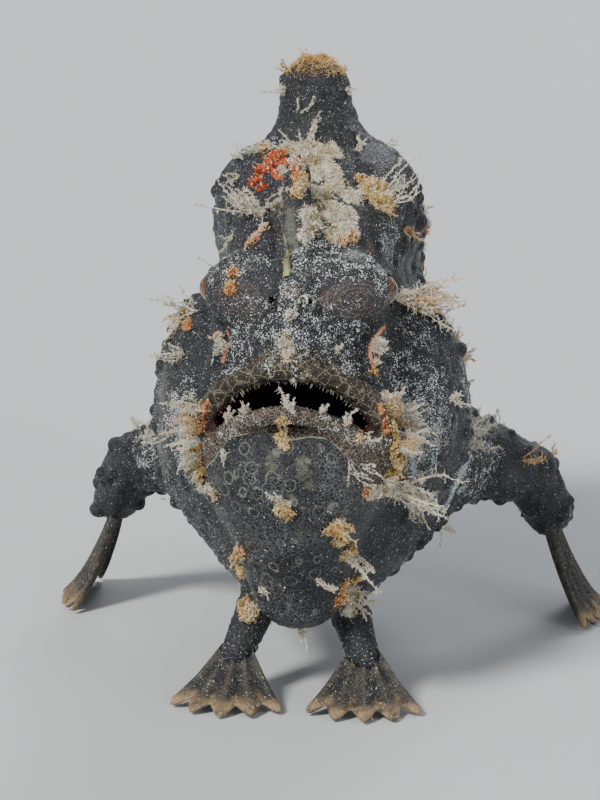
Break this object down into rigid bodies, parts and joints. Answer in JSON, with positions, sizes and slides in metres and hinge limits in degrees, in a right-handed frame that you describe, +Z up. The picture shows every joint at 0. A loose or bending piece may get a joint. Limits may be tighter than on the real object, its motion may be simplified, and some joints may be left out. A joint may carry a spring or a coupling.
{
  "type": "frogfish model",
  "caption": "Warty frogfish standing on its paired fins, mouth slightly open, with lure, tall dorsal spines, skin flaps and fan-shaped tail.",
  "frame": {"origin": "middle of the bounding box, on the plane that the four paired fins stand on", "axes": "+X to the fish's left, -Y the way it faces, +Z up"},
  "size_m": [0.0928, 0.1448, 0.0929],
  "materials": {
    "skin": "soft, warty charcoal skin with pale crusts, rust spots and skin flaps",
    "fin": "leathery dark fin skin over ridged rays",
    "lure": "pale translucent rod and filaments",
    "eye": "wet, with fine orange and black rays round a dark pupil"
  },
  "bodies": {
    "root": {"head": "skin", "lower_jaw": "skin", "trunk": "skin", "tail_stalk": "skin", "pectoral_arm_left": "skin", "pectoral_arm_right": "skin", "second_dorsal_spine": "skin", "third_dorsal_spine": "skin", "lure": "lure", "soft_dorsal_fin": "fin", "anal_fin": "fin", "tail_fin": "fin", "pectoral_fin_left": "fin", "pectoral_fin_right": "fin", "pelvic_fin_left": "fin", "pelvic_fin_right": "fin", "eye_left": "eye", "eye_right": "eye"}
  },
  "joints": []
}
